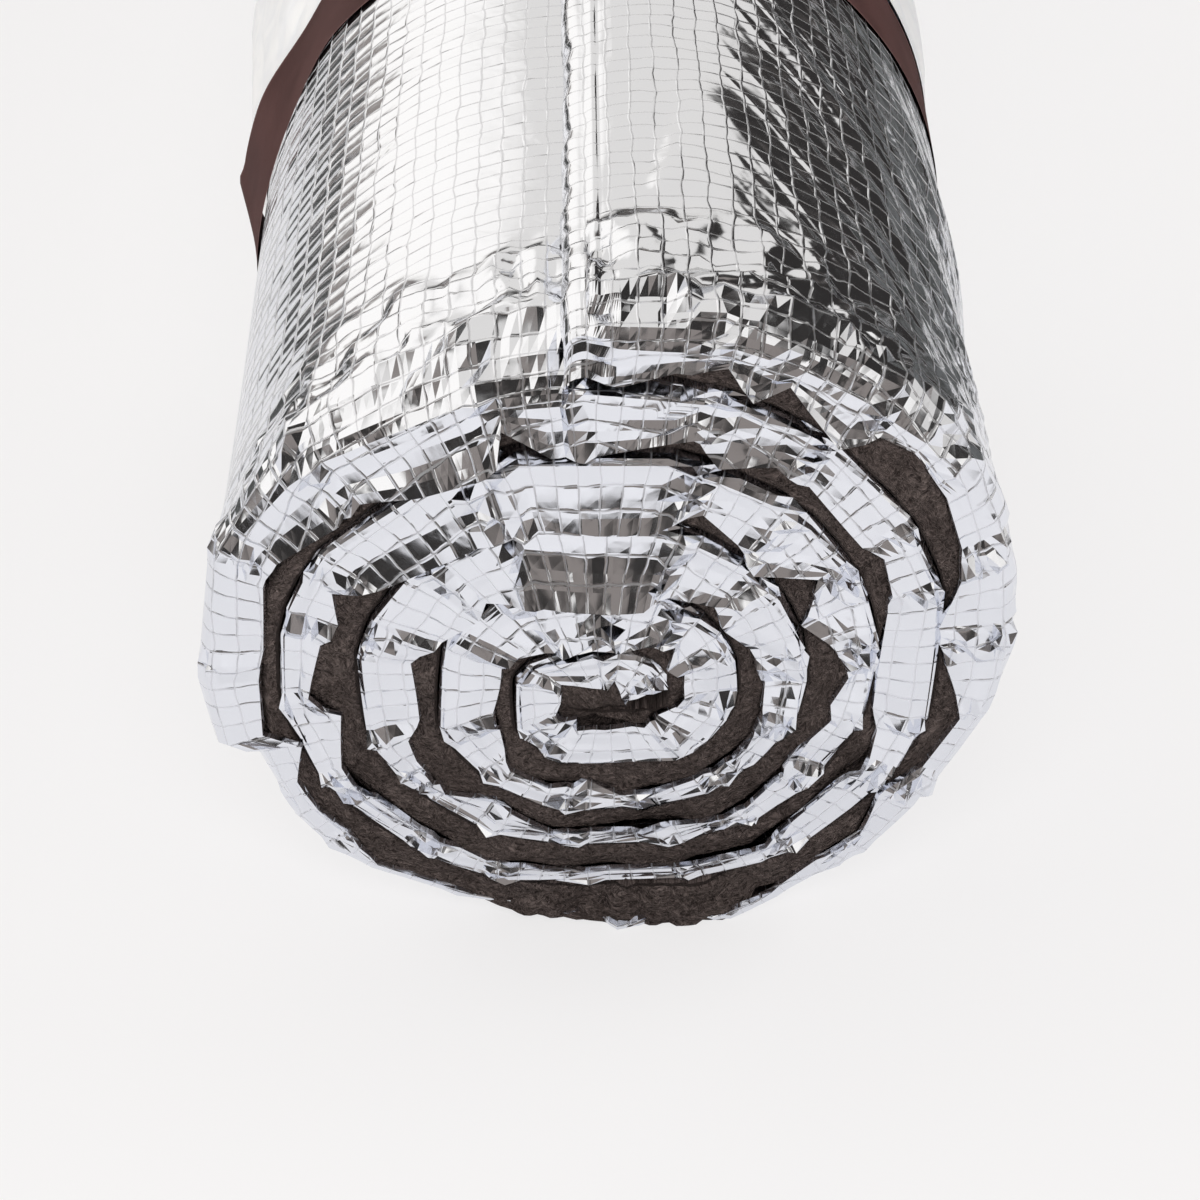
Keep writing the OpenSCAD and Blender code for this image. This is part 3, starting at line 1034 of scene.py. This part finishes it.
# %% Floor
FLOOR_SIZE, FLOOR_LIT, FLOOR_GLOW = 16, (0.82, 0.815, 0.815, 1), (0.93, 0.92, 0.923, 1)
SEEN_BY_CAMERA, SEEN_IN_MIRROR = 0.76, 0.55
LIGHT_PATH = {"camera": 0, "glossy": 3, "through": 6}
bm = bmesh.new()
bmesh.ops.create_grid(bm, x_segments=1, y_segments=1, size=FLOOR_SIZE)
floor = keep("floor", bm)
floor_material, w = new_material("floor")
ray = {name: w.node("ShaderNodeLightPath", output=index) for name, index in LIGHT_PATH.items()}
seen = SEEN_BY_CAMERA * ray["camera"] + SEEN_IN_MIRROR * (ray["glossy"] + ray["through"]).clip()
lit = w.node("ShaderNodeBsdfDiffuse", {}, {"Color": FLOOR_LIT})
glow = w.node("ShaderNodeEmission", {}, {"Color": FLOOR_GLOW, "Strength": 1.0})
surface(floor_material, w, w.node("ShaderNodeMixShader", {}, {0: seen, 1: lit, 2: glow}))
floor.data.materials.append(floor_material)

# %% [markdown]
# The sides of the real foil have dark squares, because they reflect something dark near the floor. A
# photographer would lay dark cards beside the roll. These lie flat on the floor, show only in reflections
# and throw no shadow. The right one is patchy, so the squares there differ from each other.

# %% Dark cards on the floor
CARD_DARK, CARD_PALE = (0.05, 0.054, 0.052, 1), (0.24, 0.25, 0.26, 1)
plain_card, w = new_material("plain_card")
surface(plain_card, w, principled(w, {"Base Color": CARD_DARK, "Roughness": 1.0}))
patchy_card, w = new_material("patchy_card")
patches = noise(w, w.node("ShaderNodeTexCoord", output=3), 5.5, 2)
surface(patchy_card, w, principled(w, {
    "Base Color": patches.ramp(0.40, 0.66).blend(CARD_DARK, CARD_PALE), "Roughness": 1.0}))


def dark_card(name, material, low, high, slant=0.0):
    """A card between two corners, whose near edge runs backwards by slant for each metre in x."""
    bm = bmesh.new()
    bmesh.ops.create_grid(bm, x_segments=1, y_segments=1, size=1)
    for vert in bm.verts:
        near_edge = vert.co.y < 0
        vert.co.x = low[0] if vert.co.x < 0 else high[0]
        vert.co.y = low[1] + slant * (vert.co.x - low[0]) if near_edge else high[1]
        vert.co.z = MM
    card = keep(name, bm)
    card.data.materials.append(material)
    card.visible_camera = card.visible_diffuse = card.visible_shadow = False


dark_card("right_card", patchy_card, (0.33, -0.15), (1.6, 1.2), 1.05)
dark_card("left_card", plain_card, (-7.0, 0.05), (-0.70, 7.0))
dark_card("rear_card", plain_card, (-0.70, 1.2), (7.0, 7.0))

# %% [markdown]
# The world is a dim room with uneven walls and soft screens. The two largest stand behind the roll and make
# its top bright, and the smaller ones light single facets. The screens end above a sill, and a dark curtain
# keeps the squares beside the seam dark. Only the camera sees a plain pale backdrop instead.

# %% World
DIM_WALL, PALE_WALL = (0.035, 0.032, 0.030, 1), (0.30, 0.265, 0.24, 1)
SCREEN_TINT, BACKDROP = (1.0, 0.965, 0.90), (0.89, 0.88, 0.883, 1)
CURTAIN = ((0.55, 0.80, 0.24), 10, 24)
SILL_FROM, SILL_TO = 0.05, 0.12
SCREENS = (
    # direction, degrees of the bright middle and of the soft edge, strength
    ((-0.60, 0.72, 0.42), 19, 41, 1.20),
    ((-0.05, 0.80, 0.60), 27, 29, 0.88),
    ((-0.95, 0.1, 0.40), 17, 24, 1.2),
    ((-0.1, 0.1, 1.0), 7, 10, 1.2),
    ((-0.45, -0.75, 0.45), 8, 11, 1.2),
    ((0.35, -0.65, 0.75), 6, 8, 1.2),
    ((0.92, -0.15, 0.35), 10, 17, 1.1),
    ((0.95, 0.25, 0.15), 15, 22, 0.8),
    ((0.72, 0.28, 0.75), 6, 10, 1.1),
    ((-0.55, 0.15, 0.82), 10, 15, 1.15),
)
world = bpy.data.worlds.new("studio")
world.use_nodes = True
world.node_tree.nodes.clear()
bpy.context.scene.world = world
w = Wire(world.node_tree)
direction = w.node("ShaderNodeTexCoord", output=0)


def soft_box(aim, inner, outer):
    """1 within inner degrees of the direction aim, falling to 0 at outer degrees."""
    aim = Vector(aim).normalized()
    near = w.node("ShaderNodeVectorMath", {"operation": "DOT_PRODUCT"}, {0: direction, 1: aim}, 1)
    return near.ramp(math.cos(math.radians(outer)), math.cos(math.radians(inner)))


walls = noise(w, direction, 2.6, 1).ramp(0.46, 0.60).blend(DIM_WALL, PALE_WALL)
walls = soft_box(*CURTAIN).blend(walls, DIM_WALL)
boxes = [soft_box(aim, inner, outer) * strength for aim, inner, outer, strength in SCREENS]
screens = boxes[0]
for box in boxes[1:]:
    screens = w.maths("MAXIMUM", screens, box)
screens = screens * direction.part(2).ramp(SILL_FROM, SILL_TO)
glow = w.node("ShaderNodeVectorMath", {"operation": "SCALE"}, {0: SCREEN_TINT, 3: screens})
colour = w.node("ShaderNodeVectorMath", {"operation": "MAXIMUM"}, {0: walls, 1: glow})
room = w.node("ShaderNodeBackground", {}, {"Color": colour, "Strength": 1.0})
backdrop = w.node("ShaderNodeBackground", {}, {"Color": BACKDROP, "Strength": 1.0})
by_camera = w.node("ShaderNodeLightPath", output=0)
sky = w.node("ShaderNodeMixShader", {}, {0: by_camera, 1: room, 2: backdrop})
w.node("ShaderNodeOutputWorld", {}, {"Surface": sky})
print(len(boxes), "screens in the room")

# %% [markdown]
# The dull pieces, wool, strap and film, need light that the foil doesn't mirror. So four soft lamps stand
# round the roll and are hidden from reflections.

# %% Lamps
ROLL_MIDDLE = (0, 0, 0.1)


def fill_lamp(name, place, aim, size, watts):
    data = bpy.data.lights.new(name, "AREA")
    data.shape, data.size, data.energy = "DISK", size, watts
    lamp = bpy.data.objects.new(name, data)
    lamp.location = place
    lamp.rotation_euler = (Vector(aim) - Vector(place)).to_track_quat("-Z", "Y").to_euler()
    lamp.visible_glossy = False
    bpy.context.scene.collection.objects.link(lamp)
    print(name, "gives", watts, "W")


fill_lamp("front_fill", (0.0, -2.6, 2.0), (0, -0.5, 0.1), 1.8, 47)
fill_lamp("top_fill", (0.0, 0.2, 2.8), ROLL_MIDDLE, 2.4, 5)
fill_lamp("right_fill", (2.2, 0.3, 1.6), ROLL_MIDDLE, 1.2, 22)
fill_lamp("left_fill", (-2.2, 0.3, 1.6), ROLL_MIDDLE, 1.2, 13)

# %% Plain view transform
bpy.context.scene.view_settings.view_transform = "Standard"
